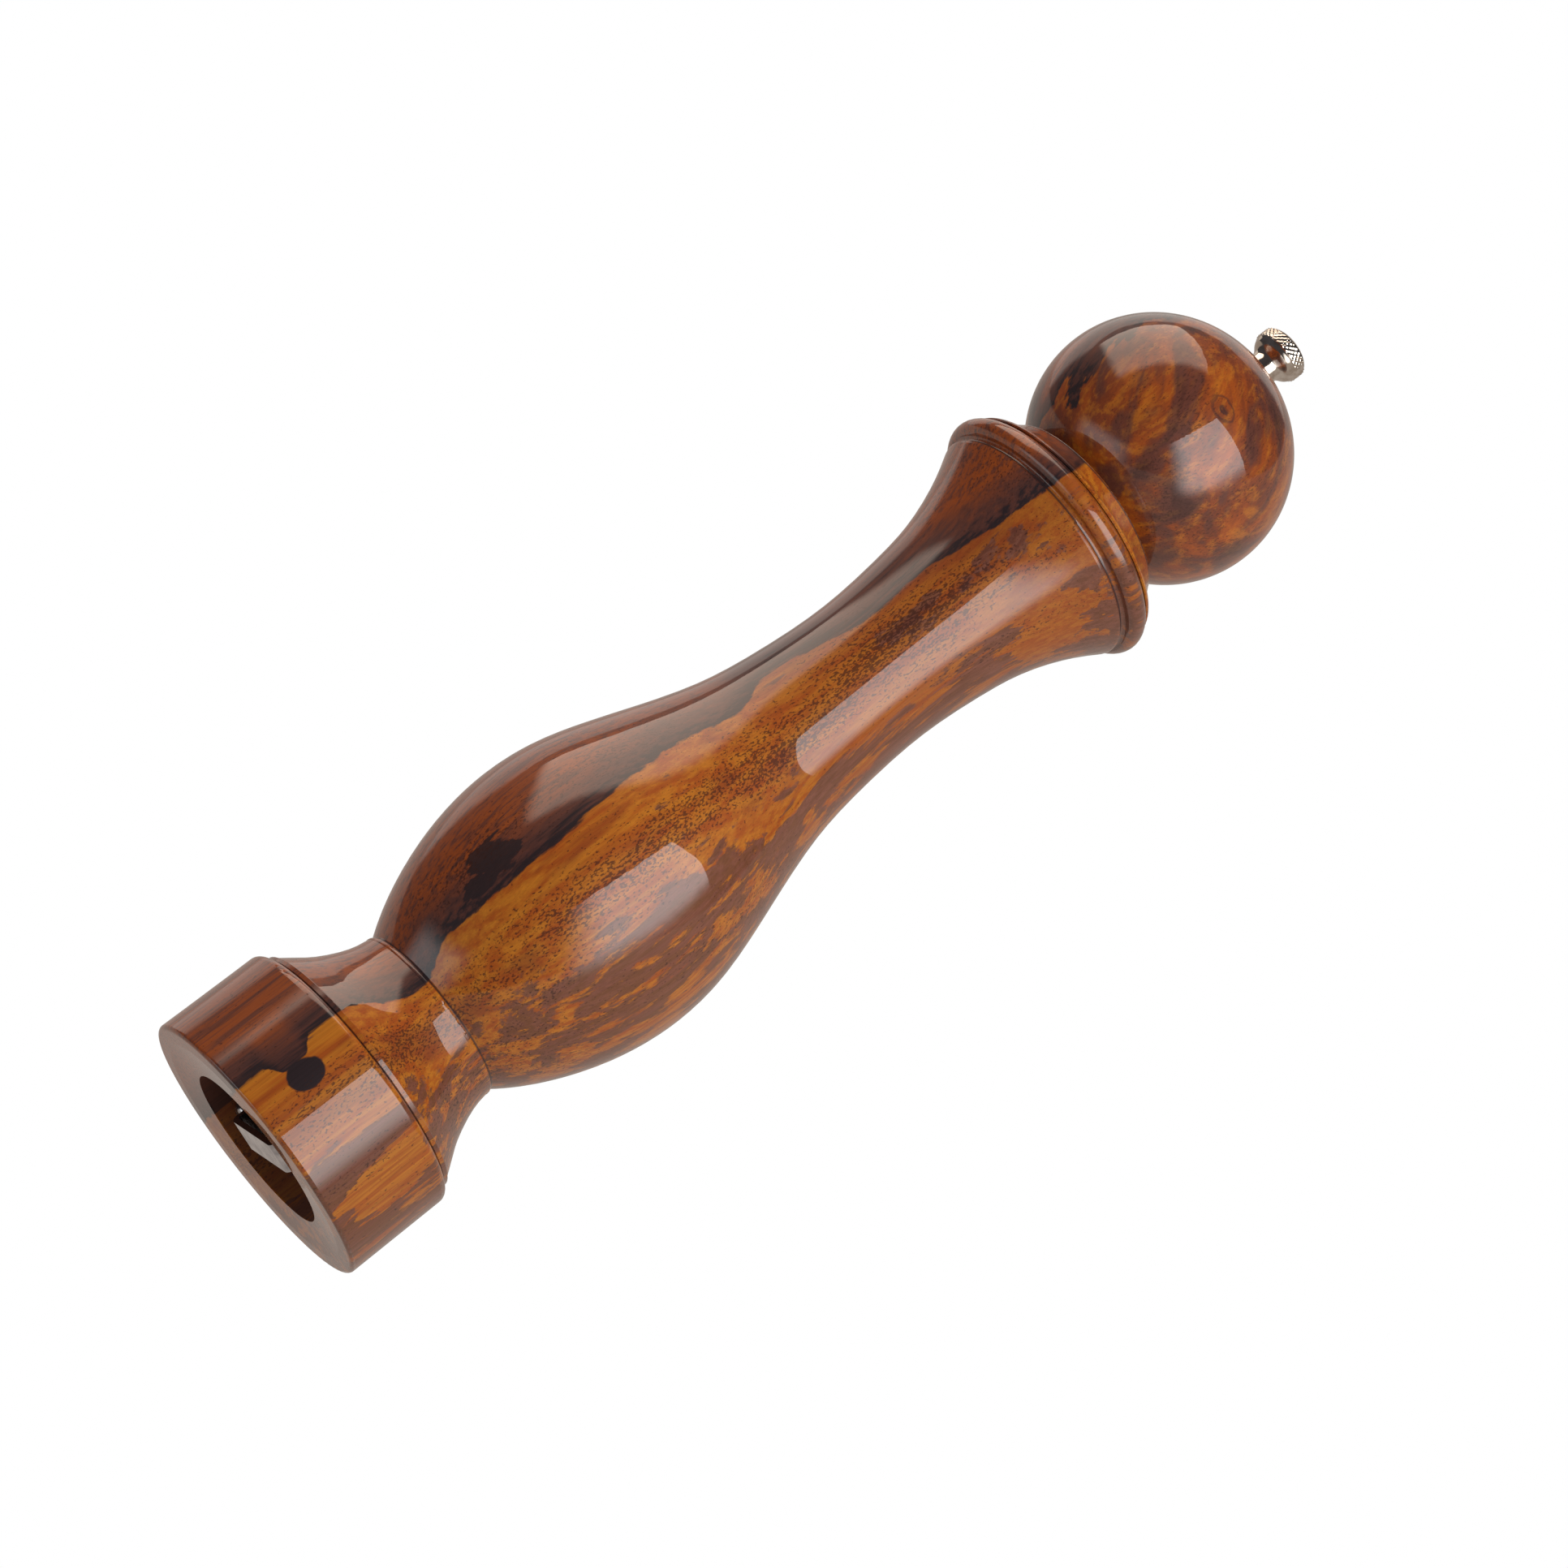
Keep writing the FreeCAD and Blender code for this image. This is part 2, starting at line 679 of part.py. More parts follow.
def screw(label, kind, centre, under_head):
    """A pan-head wood screw that points upwards, its head below the plate that it holds."""
    body = new_body(label)
    head = size(f"{kind}_head")
    height = size(f"{kind}_height")
    shank = size(f"{kind}_shank")
    length = size(f"{kind}_length")
    arm = head * 0.55
    turn(
        body,
        (0, -height),
        [
            ("line", (arm, -height)),
            ("arc", (head * 0.9, -height * 0.72), (head, -height * 0.25)),
            ("line", (head, 0)),
            ("line", (shank, 0)),
            ("line", (shank, length * 0.82)),
            ("line", (0, length)),
            ("line", (0, -height)),
        ],
    )
    blade = head * 0.12
    for corner in ((arm, blade), (blade, arm)):
        cross = new_sketch(body, "Cross", "XY_Plane", -height)
        draw_rectangle(cross, (-corner[0], -corner[1]), corner)
        sink_from(body, cross, height * 0.6)
    place = [as_length(coordinate) for coordinate in (*centre, under_head)]
    body.Placement.Base = FreeCAD.Vector(*(coordinate.value for coordinate in place))
    for axis, coordinate in zip("xyz", place):
        bind(body, f"Placement.Base.{axis}", coordinate)
    return body


# ---------------------------------------------------------------- grinder


def retaining_bar():
    """A bent strip that crosses the recess: a bridge, two legs and two screwed feet."""
    body = new_body("retaining_bar")
    under = size("bar_underside")
    thick = size("bar_thickness")
    half = size("bridge_half")
    outer = size("bend_inner") + thick
    inner = size("bend_inner")
    foot = size("foot_underside")
    end = size("foot_reach")
    leg = half + outer
    diagonal = 1 - math.sqrt(0.5)
    right = [
        ("line", (half, under)),
        ("arc", (leg - outer * diagonal, under + outer * diagonal), (leg, under + outer)),
        ("line", (leg, foot - inner)),
        ("arc", (leg + inner * diagonal, foot - inner * diagonal), (leg + inner, foot)),
        ("line", (end, foot)),
        ("line", (end, foot + thick)),
        ("line", (leg + inner, foot + thick)),
        (
            "arc",
            (leg - thick + outer * diagonal, foot + thick - outer * diagonal),
            (leg - thick, foot - inner),
        ),
        ("line", (leg - thick, under + outer)),
        ("arc", (half + inner * (1 - diagonal), under + thick + inner * diagonal), (half, under + thick)),
    ]
    sketch = new_sketch(body, "Strip")
    draw_outline(sketch, (-half, under), right + mirrored(right))
    feature = body.newObject("PartDesign::Pad", "Bent")
    feature.Profile = sketch
    feature.Midplane = True
    bind(feature, "Length", size("bar_width"))
    doc.recompute()
    holes = new_sketch(body, "ScrewHoles", "XY_Plane", foot)
    for side in (1, -1):
        centre = (size("screw_reach") * side, 0)
        draw_circle(holes, centre, size("bar_screw_shank") + size("screw_clearance"))
    sink_from(body, holes, thick)
    round_feet(body)
    turn_to_bar(body)
    return body


def mirrored(steps):
    """The other half of an outline that is symmetric about the axis, drawn back to its start."""
    flat = [(-step[-1][0], step[-1][1]) for step in steps]
    back = []
    for number in range(len(steps) - 1, 0, -1):
        kind = steps[number][0]
        target = flat[number - 1]
        if kind == "arc":
            via = steps[number][1]
            back.append(("arc", (-via[0], via[1]), target))
        else:
            back.append(("line", target))
    return [("line", flat[-1])] + back


def round_feet(body):
    """Round the four upright corners of the bar's feet."""
    tip = body.Tip
    names = []
    for number, edge in enumerate(tip.Shape.Edges, start=1):
        box = edge.BoundBox
        upright = box.XLength < 1e-6 and box.YLength < 1e-6
        if upright and abs(box.XMin) > VALUES["foot_reach"] - 1e-3:
            names.append(f"Edge{number}")
    fillet = body.newObject("PartDesign::Fillet", "FootCorners")
    fillet.Base = (tip, names)
    bind(fillet, "Radius", size("foot_corner"))
    doc.recompute()


def grinding_cone(height):
    """Radius of the stator's fine-grinding cone at a height below its throat."""
    low = VALUES["shoulder"] - VALUES["flange_thickness"]
    slope = (VALUES["mouth_radius"] - VALUES["throat_radius"]) / (VALUES["throat_height"] - low)
    return size("throat_radius") + (size("throat_height") - height) * slope


def stator():
    body = new_body("stator")
    low = size("shoulder") - size("flange_thickness")
    outer = size("stator_radius")
    top = size("stator_top")
    crusher = size("crusher_radius")
    throat = size("throat_height")
    half = size("arm_half")
    reach = size("screw_reach")
    turn(
        body,
        (size("mouth_radius"), low),
        [
            ("line", (size("flange_radius"), low)),
            ("line", (size("flange_radius"), size("shoulder"))),
            ("line", (outer, size("shoulder"))),
            ("line", (outer, top)),
            ("line", (crusher, top)),
            ("line", (crusher, throat + size("crusher_rise"))),
            ("line", (size("throat_radius"), throat)),
            ("line", (size("mouth_radius"), low)),
        ],
    )
    spider = size("spider_low")
    arm = new_sketch(body, "Arm", "XY_Plane", spider)
    draw_rectangle(arm, (0, -half), (crusher + OVERCUT, half))
    arm_pad = raise_from(body, arm, top - spider)
    around(body, arm_pad, ARMS)
    hub = new_sketch(body, "Hub", "XY_Plane", spider)
    draw_circle(hub, (0, 0), size("hub_radius"))
    raise_from(body, hub, top - spider)
    corner = size("shaft_side") * math.sqrt(0.5) + size("hub_play")
    eye = new_sketch(body, "Eye", "XY_Plane", spider)
    draw_circle(eye, (0, 0), corner)
    sink_from(body, eye, top - spider)
    inner = size("pocket_radius")
    flute_top = throat + size("stator_flute_rise")
    flute = slot_across(
        body,
        (inner, low - OVERCUT),
        [
            ("line", (size("stator_flute_low"), low - OVERCUT)),
            ("line", (size("stator_flute_throat"), throat)),
            ("line", (size("stator_flute_top"), flute_top)),
            ("line", (inner, flute_top)),
            ("line", (inner, low - OVERCUT)),
        ],
        size("stator_flute_width"),
    )
    around(body, flute, STATOR_FLUTES)
    notches = new_sketch(body, "ScrewNotches", "XY_Plane", low)
    for side in (1, -1):
        draw_circle(notches, (reach * side, 0), size("notch_radius"))
    sink_from(body, notches, size("flange_thickness"))
    turn_to_bar(body)
    return body


def rotor():
    body = new_body("rotor")
    low = size("rotor_low")
    hub_low = size("shaft_foot") + size("washer_thickness")
    gap = size("burr_gap")
    fine_top = size("throat_height") + size("fine_above")
    top = size("rotor_top")
    floor = size("spring_floor")
    pocket = size("pocket_radius")
    hub = size("rotor_hub")
    low_edge = grinding_cone(low) - gap
    top_edge = grinding_cone(fine_top) - gap
    fine_depth = size("fine_depth")
    outside = size("stator_radius")
    turn(
        body,
        (0, hub_low),
        [
            ("line", (hub, hub_low)),
            ("line", (hub, low)),
            ("line", (low_edge, low)),
            ("line", (top_edge, fine_top)),
            ("line", (size("rotor_top_radius"), top)),
            ("line", (pocket, top)),
            ("line", (pocket, floor)),
            ("line", (0, floor)),
            ("line", (0, hub_low)),
        ],
    )
    fine = slot_across(
        body,
        (low_edge - fine_depth, low - OVERCUT),
        [
            ("line", (outside, low - OVERCUT)),
            ("line", (outside, fine_top + OVERCUT)),
            ("line", (top_edge - fine_depth, fine_top + OVERCUT)),
            ("line", (low_edge - fine_depth, low - OVERCUT)),
        ],
        size("fine_width"),
    )
    around(body, fine, ROTOR_FLUTES)
    coarse = slot_across(
        body,
        (size("coarse_low"), fine_top),
        [
            ("line", (outside, fine_top)),
            ("line", (outside, top + OVERCUT)),
            ("line", (size("coarse_high"), top + OVERCUT)),
            ("line", (size("coarse_high"), top - OVERCUT)),
            ("line", (size("coarse_low"), fine_top)),
        ],
        size("coarse_width"),
    )
    around(body, coarse, CRUSHER_FLUTES)
    square_hole(body, hub_low, floor - hub_low)
    return body


def spring():
    """A round-wire compression spring between the rotor's pocket and its thrust washer."""
    wire = size("wire_radius")
    gap = size("coil_gap")
    start = size("spring_floor") + wire + gap
    length = size("washer_low") - wire - gap - start
    helix = doc.addObject("Part::Helix", "SpringPath")
    bind(helix, "Radius", size("spring_radius"))
    bind(helix, "Height", length)
    bind(helix, "Pitch", length * (1 / SPRING_TURNS))
    bind(helix, "Placement.Base.z", start)
    section = doc.addObject("Part::Circle", "SpringWire")
    bind(section, "Radius", wire)
    section.Placement = FreeCAD.Placement(
        FreeCAD.Vector(VALUES["spring_radius"], 0, start.value),
        FreeCAD.Rotation(FreeCAD.Vector(1, 0, 0), 90),
    )
    coil = doc.addObject("Part::Sweep", "spring")
    coil.Label = "spring"
    coil.Sections = [section]
    coil.Spine = helix
    coil.Solid = True
    coil.Frenet = True
    doc.recompute()
    return coil


# ---------------------------------------------------------------- assembly


def build():
    reach = size("screw_reach")
    plate_reach = size("plate_screw_reach")
    feet = size("foot_underside")
    plate_low = size("tenon_bottom") - size("plate_thickness")
    thickness = size("washer_thickness")
    shaft_hole = size("shaft_side") * math.sqrt(0.5) + size("washer_play")
    knob_hole = size("thread_radius") + size("screw_clearance")
    seat = ball_point(SEAT_ANGLE)[1]
    return [
        mill_body(),
        mill_head(),
        knob_nut(),
        washer("knob_washer", knob_hole, size("washer_radius"), seat, size("knob_foot") - seat),
        drive_shaft(),
        drive_plate(),
        screw("plate_screw_left", "plate_screw", (-plate_reach, 0), plate_low),
        screw("plate_screw_right", "plate_screw", (plate_reach, 0), plate_low),
        retaining_bar(),
        screw("bar_screw_front", "bar_screw", along_bar(reach), feet),
        screw("bar_screw_rear", "bar_screw", along_bar(-reach), feet),
        stator(),
        rotor(),
        washer("rotor_washer", shaft_hole, size("rotor_washer_radius"), size("shaft_foot"), thickness),
        spring(),
        washer("thrust_washer", shaft_hole, size("thrust_radius"), size("washer_low"), thickness),
    ]


def check(pieces):
    for thing in doc.Objects:
        if "Invalid" in thing.State or "Error" in thing.State:
            raise RuntimeError(f"{thing.Label} did not compute: {thing.State}")
    for piece in pieces:
        shape = piece.Shape
        if shape.isNull() or not shape.isValid() or len(shape.Solids) != 1:
            raise RuntimeError(f"{piece.Label} is not one valid solid")


pieces = build()
doc.recompute()
check(pieces)
os.makedirs("parts", exist_ok=True)
for piece in pieces:
    piece.Shape.exportStep(f"parts/{piece.Label}.step")
    print(piece.Label, round(piece.Shape.Volume, 1), "mm3")
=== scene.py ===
"""Looks of a turned pepper mill: glossy figured wood, a knurled nickel knob and a burr grinder."""

import math
from functools import reduce

import bpy
from mathutils import Matrix, Vector

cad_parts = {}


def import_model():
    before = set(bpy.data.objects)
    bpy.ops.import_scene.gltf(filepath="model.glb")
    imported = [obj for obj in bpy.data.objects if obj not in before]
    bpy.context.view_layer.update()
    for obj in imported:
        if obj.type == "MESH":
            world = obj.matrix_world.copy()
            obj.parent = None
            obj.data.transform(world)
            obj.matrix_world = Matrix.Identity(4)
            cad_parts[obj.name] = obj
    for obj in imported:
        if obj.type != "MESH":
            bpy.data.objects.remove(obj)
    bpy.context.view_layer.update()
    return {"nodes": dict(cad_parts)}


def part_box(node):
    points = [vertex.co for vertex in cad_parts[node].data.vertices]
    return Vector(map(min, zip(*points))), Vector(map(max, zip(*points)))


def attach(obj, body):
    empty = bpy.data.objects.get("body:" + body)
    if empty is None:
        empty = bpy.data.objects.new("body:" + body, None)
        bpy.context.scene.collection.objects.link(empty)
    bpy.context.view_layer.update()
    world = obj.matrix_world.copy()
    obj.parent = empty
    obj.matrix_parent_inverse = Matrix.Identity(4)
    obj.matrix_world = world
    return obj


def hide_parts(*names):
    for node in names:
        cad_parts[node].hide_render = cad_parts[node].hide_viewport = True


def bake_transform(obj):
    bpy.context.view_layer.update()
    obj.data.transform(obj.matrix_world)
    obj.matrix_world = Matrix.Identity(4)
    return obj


MM = 0.001

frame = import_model()
NODES = frame["nodes"]

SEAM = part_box("mill_body")[1].z
BALL_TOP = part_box("mill_head")[1].z


# ---------------------------------------------------------------- shader graph


class Graph:
    """Builds one node tree out of sockets and plain values."""

    def __init__(self, tree):
        self.tree = tree
        tree.nodes.clear()

    def node(self, kind, *wires, **settings):
        made = self.tree.nodes.new(kind)
        for name, value in settings.items():
            setattr(made, name, value)
        for socket, value in wires:
            self.wire(made.inputs[socket], value)
        return made

    def wire(self, target, value):
        if isinstance(value, bpy.types.NodeSocket):
            self.tree.links.new(value, target)
        elif value is not None:
            target.default_value = value

    def close(self, kind, shader):
        """Ends the tree in an output node of that kind."""
        self.wire(self.node(kind).inputs["Surface"], shader.outputs[0])

    def math(self, operation, a, b=None, clamp=False):
        wires = [(0, a), (1, b)]
        return self.node("ShaderNodeMath", *wires, operation=operation, use_clamp=clamp).outputs[0]

    def add(self, a, b):
        return self.math("ADD", a, b)

    def less(self, a, b):
        return self.math("SUBTRACT", a, b)

    def times(self, a, b, clamp=False):
        return self.math("MULTIPLY", a, b, clamp=clamp)

    def most(self, a, b):
        return self.math("MAXIMUM", a, b)

    def least(self, a, b):
        return self.math("MINIMUM", a, b)

    def absolute(self, value):
        return self.math("ABSOLUTE", value)

    def step(self, value, low, high, to_low=0.0, to_high=1.0):
        """A smooth rise of value from low to high. With low above high it falls."""
        if low > high:
            low, high, to_low, to_high = high, low, to_high, to_low
        wires = [
            ("Value", value),
            ("From Min", low),
            ("From Max", high),
            ("To Min", to_low),
            ("To Max", to_high),
        ]
        return self.node("ShaderNodeMapRange", *wires, interpolation_type="SMOOTHSTEP").outputs[0]

    def vector(self, operation, a, b):
        return self.node("ShaderNodeVectorMath", (0, a), (1, b), operation=operation).outputs[0]

    def measure(self, operation, a, b=None):
        wires = [(0, a), (1, b)]
        return self.node("ShaderNodeVectorMath", *wires, operation=operation).outputs["Value"]

    def dot(self, a, b):
        return self.measure("DOT_PRODUCT", a, b)

    def distance(self, a, b):
        return self.measure("DISTANCE", a, b)

    def length(self, vector):
        return self.measure("LENGTH", vector)

    def stretch(self, vector, x, y, z):
        return self.vector("MULTIPLY", vector, (x, y, z))

    def split(self, vector):
        return self.node("ShaderNodeSeparateXYZ", (0, vector)).outputs

    def join(self, x, y, z):
        return self.node("ShaderNodeCombineXYZ", (0, x), (1, y), (2, z)).outputs[0]

    def noise(self, vector, scale=1.0, detail=4.0, roughness=0.55, distortion=0.0, output="Fac"):
        wires = [
            ("Vector", vector),
            ("Scale", scale),
            ("Detail", detail),
            ("Roughness", roughness),
            ("Distortion", distortion),
        ]
        return self.node("ShaderNodeTexNoise", *wires).outputs[output]

    def swing(self, vector, reach, **settings):
        """Noise from about -reach to reach."""
        return self.times(self.less(self.noise(vector, **settings), 0.5), 2.0 * reach)

    def blend(self, factor, a, b, mode="MIX"):
        """Colour a, turning to b as factor goes to 1."""
        made = self.node("ShaderNodeMix", data_type="RGBA", blend_type=mode)
        # A mix node has its colour sockets behind those for numbers and vectors.
        for socket, value in ((0, factor), (6, a), (7, b)):
            self.wire(made.inputs[socket], value)
        return made.outputs[2]

    def curve(self, value, points):
        """A smooth curve through (value, result) points, both from 0 to 1."""
        made = self.node("ShaderNodeFloatCurve", ("Value", value))
        line = made.mapping.curves[0]
        for index, (x, y) in enumerate(points):
            # A new curve already has two points.
            if index < 2:
                line.points[index].location = (x, y)
            else:
                line.points.new(x, y)
        made.mapping.update()
        return made.outputs[0]


def rgb(red, green, blue):
    """A colour given as it looks on a screen, from 0 to 255, as the shader's linear one."""

    def linear(channel):
        share = channel / 255
        return share / 12.92 if share <= 0.04045 else ((share + 0.055) / 1.055) ** 2.4

    return (linear(red), linear(green), linear(blue), 1.0)


def new_material(name):
    """An empty material and the graph that fills it."""
    material = bpy.data.materials.new(name)
    material.use_nodes = True
    return material, Graph(material.node_tree)


def finish_surface(graph, colour, roughness, bump, strength, reach, **constants):
    """The Principled shader that closes a material. Constants are set on its own sockets."""
    height = graph.node(
        "ShaderNodeBump", ("Strength", strength), ("Distance", reach), ("Height", bump)
    )
    shader = graph.node(
        "ShaderNodeBsdfPrincipled",
        ("Base Color", colour),
        ("Roughness", roughness),
        ("Normal", height.outputs[0]),
    )
    for name, value in constants.items():
        shader.inputs[name.replace("_", " ")].default_value = value
    graph.close("ShaderNodeOutputMaterial", shader)
    return shader


def put_in_scene(name, data):
    """A new object of that data, linked to the scene."""
    made = bpy.data.objects.new(name, data)
    bpy.context.scene.collection.objects.link(made)
    return made


# ---------------------------------------------------------------- wood

AMBER = rgb(162, 78, 20)
GOLD = rgb(188, 114, 30)
RUSSET = rgb(122, 57, 26)
MAROON = rgb(114, 60, 40)
CHOCOLATE = rgb(84, 50, 43)
INK = rgb(42, 31, 34)
PLUM = rgb(112, 72, 60)
PORE = rgb(58, 26, 16)
RAW = rgb(96, 62, 52)

# How far the body's dark sheet stays from the axis, against the height: shares of SHEET_REACH
# and of the body's height.
SHEET_REACH = 20.0
SHEET_EDGE = [
    (0.0, 0.61),
    (0.12, 0.60),
    (0.165, 0.38),
    (0.2, 0.29),
    (0.24, 0.53),
    (0.36, 0.62),
    (0.52, 0.70),
    (0.605, 0.56),
    (0.65, 0.69),
    (0.71, 0.62),
    (0.78, 0.50),
    (0.83, 0.56),
    (0.89, 0.46),
    (1.0, 0.40),
]

# Marks in the body's wood, each as the centre and radii of an uneven ellipsoid, in millimetres.
KNOT = [((-6.0, -31.0, 13.7), (3.5, 12.0, 4.6))]
BURL = [((-18.7, -28.0, 78.0), (3.8, 16.0, 5.6)), ((-15.5, -28.0, 70.5), (2.0, 16.0, 4.4))]
CLEARINGS = [((18.0, -22.0, 216.0), (7.0, 16.0, 12.0)), ((23.0, -21.0, 15.0), (4.5, 16.0, 14.0))]
SPECKED = [((-3.0, -20.0, 217.0), (5.0, 18.0, 8.0)), ((-3.5, -20.0, 189.0), (4.0, 18.0, 10.0))]

# The sheet reaches out towards the knot by KNOT_PULL around the height KNOT_HEIGHT.
KNOT_HEIGHT = 13.5
KNOT_PULL = 3.2

# Heights of the turned grooves, in millimetres like every length down to millimetres().
BODY_GROOVES = (27.55, 50.15, 233.2)
HEAD_GROOVES = (241.45, 246.5)

# Where lacquer gives way to raw wood, as (lacquered, raw): radii for the two walls and heights
# for the recess's two ends.
BORE_WALL = (14.6, 14.2)
RECESS_WALL = (24.9, 24.3)
RECESS_MOUTH = (0.95, 1.3)
RECESS_ROOF = (20.0, 18.0)

# Where the head's ball gives way to its collar, as (ball, collar).
COLLAR_TOP = (247.5, 246.5)

# The ball's streaks lean more the further they are from BALL_MIDDLE. The eye on its front is a
# figure of rings, which EYE_SHAPE squeezes.
BALL_MIDDLE = 280.0
SWIRL_REACH = 34.0
EYE_SHAPE = (1.0, 0.3, 1.3)
EYE_CENTRE = (2.0, -33.0, 278.0)


def millimetres(graph):
    """The place on the part, in millimetres."""
    place = graph.node("ShaderNodeTexCoord").outputs["Object"]
    return graph.stretch(place, 1 / MM, 1 / MM, 1 / MM)


def blots(graph, place, marks, ragged):
    """A mask for uneven ellipsoids in the wood, such as a knot."""
    masks = []
    for centre, radii in marks:
        shares = [1.0 / radius for radius in radii]
        middle = [c * share for c, share in zip(centre, shares)]
        far = graph.distance(graph.stretch(place, *shares), middle)
        masks.append(graph.step(graph.add(far, ragged), 1.06, 0.94))
    return reduce(graph.most, masks)


def dark_wood(graph, depth, streak, fine):
    """The dark sheet: almost black at its edge, then chocolate, and red-brown further in."""
    uneven = graph.add(depth, graph.times(graph.less(fine, 0.5), 14.0))
    tone = graph.blend(graph.step(uneven, 0.2, 3.4), INK, CHOCOLATE)
    deep = graph.times(graph.step(uneven, 3.0, 8.0), graph.step(streak, 0.26, 0.52))
    tone = graph.blend(deep, tone, MAROON)
    glow = graph.times(graph.step(depth, 6.0, 11.0), graph.step(fine, 0.38, 0.56))
    return graph.blend(graph.times(glow, 0.85), tone, AMBER)


def amber_wood(graph, streak, cloud):
    """The heart: amber with golden streaks and russet clouds."""
    tone = graph.blend(graph.step(streak, 0.36, 0.64), AMBER, GOLD)
    return graph.blend(graph.times(graph.step(cloud, 0.50, 0.68), 0.6), tone, RUSSET)


def plum_wood(graph, streak):
    """The mottling on the +X side: plum with chocolate streaks."""
    return graph.blend(graph.step(streak, 0.36, 0.62), PLUM, CHOCOLATE)


def painted_groove_shade(graph, tone, z, heights):
    """Painted shade in the turned grooves, as thin dark rings at those heights."""
    gaps = [graph.absolute(graph.less(z, height)) for height in heights]
    nearest = reduce(graph.least, gaps)
    return graph.blend(graph.step(nearest, 0.42, 0.12, to_high=0.8), tone, INK)


def with_pores(graph, place, tone, crowd, amount):
    """Dark pores, as short dashes along the grain and as dots where the turning cuts across it."""
    pores = graph.noise(graph.stretch(place, 2.3, 2.3, 1.0), detail=2.0, roughness=0.5)
    level = graph.add(pores, graph.times(graph.less(crowd, 0.5), 0.5))
    tone = graph.blend(graph.times(graph.step(level, 0.57, 0.67), amount), tone, PORE)
    fibre = graph.noise(graph.stretch(place, 2.6, 2.6, 0.07), detail=4.0, roughness=0.7)
    lined = graph.blend(1.0, tone, graph.join(fibre, fibre, fibre), "OVERLAY")
    return graph.blend(0.4, tone, lined)


def lacquered(graph, tone, inside):
    """Polished lacquer outside, raw wood where inside is 1."""
    shader = finish_surface(
        graph,
        graph.blend(graph.times(inside, 0.6), tone, RAW),
        graph.step(inside, 0.0, 1.0, to_low=0.42, to_high=0.75),
        bump=graph.noise(graph.stretch(millimetres(graph), 0.05, 0.05, 0.05), detail=2.0),
        strength=0.05,
        reach=1.0 * MM,
        Coat_Roughness=0.02,
        Coat_IOR=1.52,
        Specular_IOR_Level=0.2,
    )
    graph.wire(shader.inputs["Coat Weight"], graph.less(1.0, inside))


def raw_body(graph, x, y, z):
    """A mask for the body's faces without lacquer: its bore, its recess and the head's seat."""
    radius = graph.length(graph.join(x, y, 0.0))
    bore = graph.step(radius, *BORE_WALL)
    ends = graph.times(graph.step(z, *RECESS_ROOF), graph.step(z, *RECESS_MOUTH))
    recess = graph.times(graph.step(radius, *RECESS_WALL), ends)
    seat = graph.step(z, SEAM / MM - 0.12, SEAM / MM - 0.04)
    return graph.most(graph.most(bore, recess), seat)


def body_wood():
    """Amber heart, a dark sheet on the -X side, and mottled plum and amber on the +X side."""
    material, graph = new_material("body_wood")
    place = millimetres(graph)
    x, y, z = graph.split(place)
    grain = graph.stretch(place, 1.0, 1.0, 0.15)
    streak = graph.noise(graph.stretch(place, 0.45, 0.45, 0.02), detail=6.0, roughness=0.62)
    fine = graph.noise(graph.stretch(place, 0.9, 0.9, 0.045), detail=5.0, roughness=0.6)
    cloud = graph.noise(grain, scale=0.12, detail=4.0)
    flame = graph.noise(grain, scale=0.2, detail=8.0, roughness=0.66, distortion=0.3)
    wobble = graph.swing(grain, 1.0, scale=0.35, detail=6.0, roughness=0.6)
    torn = graph.swing(grain, 1.3, scale=0.26, detail=6.0, roughness=0.62)
    ragged = graph.swing(place, 0.16, scale=0.22, detail=3.0)

    # The dark sheet's edge and how deep in the sheet a place is.
    share = graph.times(z, 1.0 / (SEAM / MM), clamp=True)
    edge = graph.times(graph.curve(share, SHEET_EDGE), SHEET_REACH)
    beside_knot = graph.absolute(graph.less(z, KNOT_HEIGHT))
    edge = graph.less(edge, graph.step(beside_knot, 6.5, 2.5, to_high=KNOT_PULL))
    edge = graph.add(edge, graph.times(wobble, 1.6))
    depth = graph.less(graph.times(x, -1.0), edge)
    dark = graph.step(depth, -0.25, 0.25)

    # Plum against amber.
    level = graph.add(flame, graph.step(x, 5.0, 14.0, to_low=-0.12, to_high=0.06))
    level = graph.less(level, graph.times(blots(graph, place, CLEARINGS, torn), 0.22))
    level = graph.add(level, graph.step(z, 185.0, 215.0, to_high=0.03))
    level = graph.add(level, graph.times(blots(graph, place, SPECKED, torn), 0.11))
    plum = graph.step(level, 0.505, 0.56)

    # Amber, brighter on the mottled side and redder towards the top.
    gilt = graph.blend(graph.step(fine, 0.40, 0.60), AMBER, GOLD)
    beside = graph.step(x, 6.0, 13.0, to_high=0.65)
    tone = graph.blend(beside, amber_wood(graph, streak, cloud), gilt)
    tone = graph.blend(graph.step(z, 110.0, 200.0, to_high=0.4), tone, RUSSET)

    tone = graph.blend(graph.times(plum, 0.8), tone, plum_wood(graph, fine))
    calm = graph.step(z, 29.0, 24.0, to_high=0.1)
    tone = graph.blend(dark, tone, dark_wood(graph, depth, graph.add(streak, calm), fine))
    tone = graph.blend(graph.times(blots(graph, place, BURL, torn), 0.92), tone, INK)
    tone = graph.blend(blots(graph, place, KNOT, ragged), tone, INK)

    middle = graph.step(graph.absolute(x), 9.0, 3.0, to_low=-0.1, to_high=0.1)
    crowd = graph.add(graph.noise(grain, scale=0.07, detail=2.0), middle)
    tone = with_pores(graph, place, tone, crowd, 0.75)
    # Painted shade: thin dark rings at the body's turned grooves.
    tone = painted_groove_shade(graph, tone, z, BODY_GROOVES)
    lacquered(graph, tone, raw_body(graph, x, y, z))
    return material


